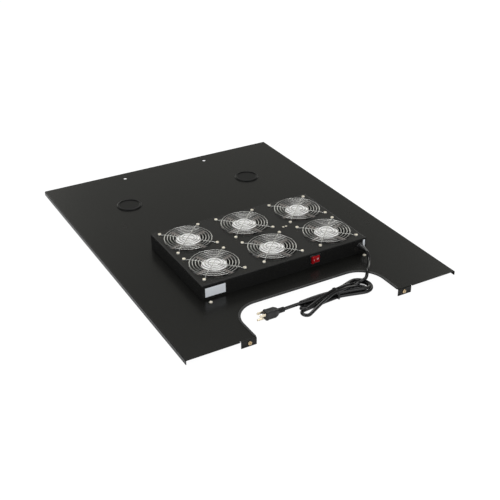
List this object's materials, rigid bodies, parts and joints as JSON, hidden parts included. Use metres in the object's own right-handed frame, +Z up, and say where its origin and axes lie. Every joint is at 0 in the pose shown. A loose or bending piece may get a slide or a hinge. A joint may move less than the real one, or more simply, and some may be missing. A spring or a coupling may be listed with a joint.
{
  "type": "rack fan tray",
  "caption": "Cabinet roof panel with a raised housing of axial fans under wire guards, a rocker switch, a trimmed cable cut-out and a mains cord with plug.",
  "frame": {"origin": "centre of the footprint, on the plane the front tabs stand on", "axes": "+Z up out of the cabinet, +Y to the rear of the cabinet, +X to the right seen from the front"},
  "size_m": [0.71, 0.9008, 0.0642],
  "materials": {
    "panel_paint": "semi-gloss black powder coat, fine texture",
    "housing_paint": "semi-gloss black powder coat, fine texture",
    "trim_rubber": "black rubber, satin",
    "fan_metal": "black painted casting",
    "rotor_plastic": "black moulded plastic",
    "guard_wire": "bright nickel-plated steel wire",
    "sleeve_bronze": "sintered bronze",
    "screw_zinc": "yellowish zinc plating",
    "plug_plastic": "black moulded plastic",
    "switch_case": "black nylon",
    "rocker_red": "red glossy plastic, two plain white marks",
    "terminal_brass": "tinned brass",
    "block_plastic": "natural nylon",
    "lead_sleeve": "black sleeving",
    "label_white": "blank white film",
    "relief_nylon": "black nylon",
    "cord_pvc": "black PVC, satin",
    "tie_wire": "black twist strap",
    "pin_metal": "nickel-plated brass"
  },
  "bodies": {
    "tray": {"roof_panel": "panel_paint", "fan_housing": "housing_paint", "cutout_trim": "trim_rubber", "fan_frame_front_left": "fan_metal", "fan_frame_front_middle": "fan_metal", "fan_frame_front_right": "fan_metal", "fan_frame_rear_left": "fan_metal", "fan_frame_rear_middle": "fan_metal", "fan_frame_rear_right": "fan_metal", "finger_guard_front_left": "guard_wire", "finger_guard_front_middle": "guard_wire", "finger_guard_front_right": "guard_wire", "finger_guard_rear_left": "guard_wire", "finger_guard_rear_middle": "guard_wire", "finger_guard_rear_right": "guard_wire", "bearing_sleeves": "sleeve_bronze", "guard_screws": "screw_zinc", "flange_screws": "screw_zinc", "tab_screws": "screw_zinc", "block_screws": "screw_zinc", "flange_nuts": "screw_zinc", "tab_retainers": "screw_zinc", "blanking_plugs": "plug_plastic", "switch_body": "switch_case", "switch_terminals": "terminal_brass", "terminal_block": "block_plastic", "fan_loom": "lead_sleeve", "switch_lead": "lead_sleeve", "front_label": "label_white", "strip_label": "label_white", "strain_relief": "relief_nylon", "cord_lead": "cord_pvc", "cord_hank": "cord_pvc", "cord_tail": "cord_pvc", "plug_body": "cord_pvc", "cord_tie": "tie_wire", "plug_pins": "pin_metal"},
    "rotor_front_left": {"fan_rotor_front_left": "rotor_plastic"},
    "rotor_front_middle": {"fan_rotor_front_middle": "rotor_plastic"},
    "rotor_front_right": {"fan_rotor_front_right": "rotor_plastic"},
    "rotor_rear_left": {"fan_rotor_rear_left": "rotor_plastic"},
    "rotor_rear_middle": {"fan_rotor_rear_middle": "rotor_plastic"},
    "rotor_rear_right": {"fan_rotor_rear_right": "rotor_plastic"},
    "rocker": {"switch_rocker": "rocker_red"}
  },
  "joints": [
    {"name": "spin_front_left", "type": "hinge", "parent": "tray", "child": "rotor_front_left", "pos_m": [-0.1562, -0.19435, 0.0518], "axis": [0, 0, 1], "continuous": true},
    {"name": "spin_front_middle", "type": "hinge", "parent": "tray", "child": "rotor_front_middle", "pos_m": [0, -0.19435, 0.0518], "axis": [0, 0, 1], "continuous": true},
    {"name": "spin_front_right", "type": "hinge", "parent": "tray", "child": "rotor_front_right", "pos_m": [0.1562, -0.19435, 0.0518], "axis": [0, 0, 1], "continuous": true},
    {"name": "spin_rear_left", "type": "hinge", "parent": "tray", "child": "rotor_rear_left", "pos_m": [-0.1562, -0.05785, 0.0518], "axis": [0, 0, 1], "continuous": true},
    {"name": "spin_rear_middle", "type": "hinge", "parent": "tray", "child": "rotor_rear_middle", "pos_m": [0, -0.05785, 0.0518], "axis": [0, 0, 1], "continuous": true},
    {"name": "spin_rear_right", "type": "hinge", "parent": "tray", "child": "rotor_rear_right", "pos_m": [0.1562, -0.05785, 0.0518], "axis": [0, 0, 1], "continuous": true},
    {"name": "rocker_tilt", "type": "hinge", "parent": "tray", "child": "rocker", "pos_m": [0.0765, -0.2641, 0.0395], "axis": [0, 0, 1], "range_deg": [-20, 0]}
  ]
}
